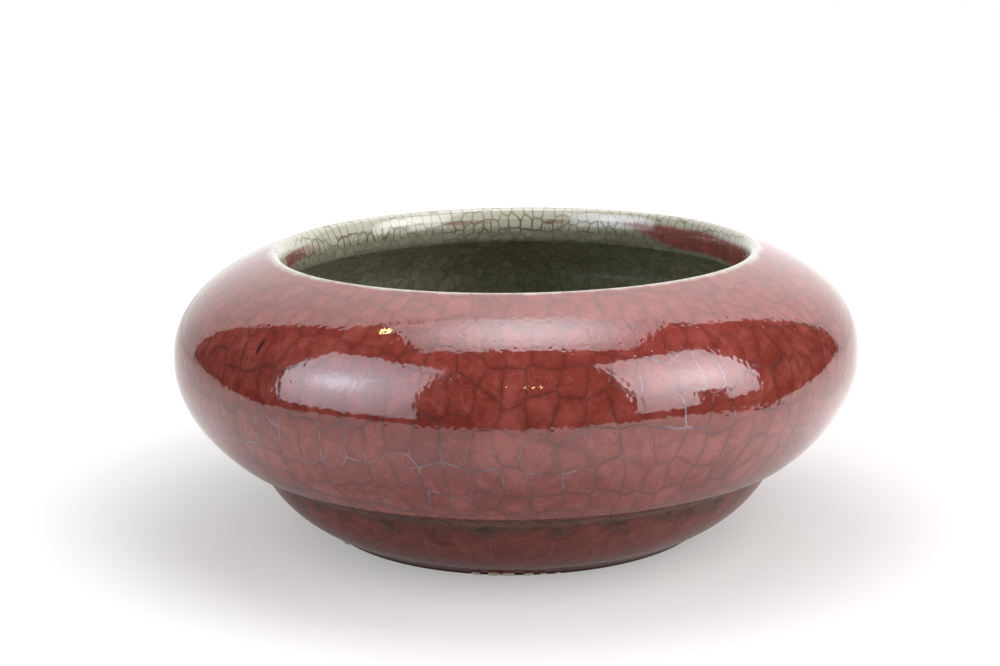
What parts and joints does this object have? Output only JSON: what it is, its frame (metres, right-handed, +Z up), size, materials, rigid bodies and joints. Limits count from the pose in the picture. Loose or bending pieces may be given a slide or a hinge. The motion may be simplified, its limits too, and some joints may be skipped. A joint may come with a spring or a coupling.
{
  "type": "brush washer",
  "caption": "Squat round brush washer with a wide inturned mouth, full belly and low rounded foot ring, crackled copper-red glaze outside and celadon glaze inside.",
  "frame": {"origin": "centre of the foot ring, on the plane that it stands on", "axes": "+Z up along the bowl's axis of revolution, -Y towards the camera of the picture, +X to its right"},
  "size_m": [0.13, 0.13, 0.053],
  "materials": {
    "stoneware": "bare fired clay, matt, fine sandy grain",
    "copper_red_glaze": "glossy copper-red crackle glaze with dark and pale crack lines",
    "pale_lip_glaze": "thin glossy cream glaze, finely crackled",
    "celadon_glaze": "glossy grey-green celadon glaze with brown crackle",
    "dark_groove_glaze": "thick pooled glaze, dark grey-brown, satin",
    "foot_glaze": "brown-red glaze with grey-green staining and lilac streaks, satin gloss",
    "kiln_grit": "coarse matt cream grains"
  },
  "bodies": {
    "root": {"clay_bowl": "stoneware", "clay_foot_ring": "stoneware", "red_body_glaze": "copper_red_glaze", "pale_lip_glaze": "pale_lip_glaze", "celadon_inner_glaze": "celadon_glaze", "red_mouth_splashes": "copper_red_glaze", "dark_groove_glaze": "dark_groove_glaze", "red_foot_glaze": "foot_glaze", "celadon_base_glaze": "celadon_glaze", "kiln_grit": "kiln_grit"}
  },
  "joints": []
}
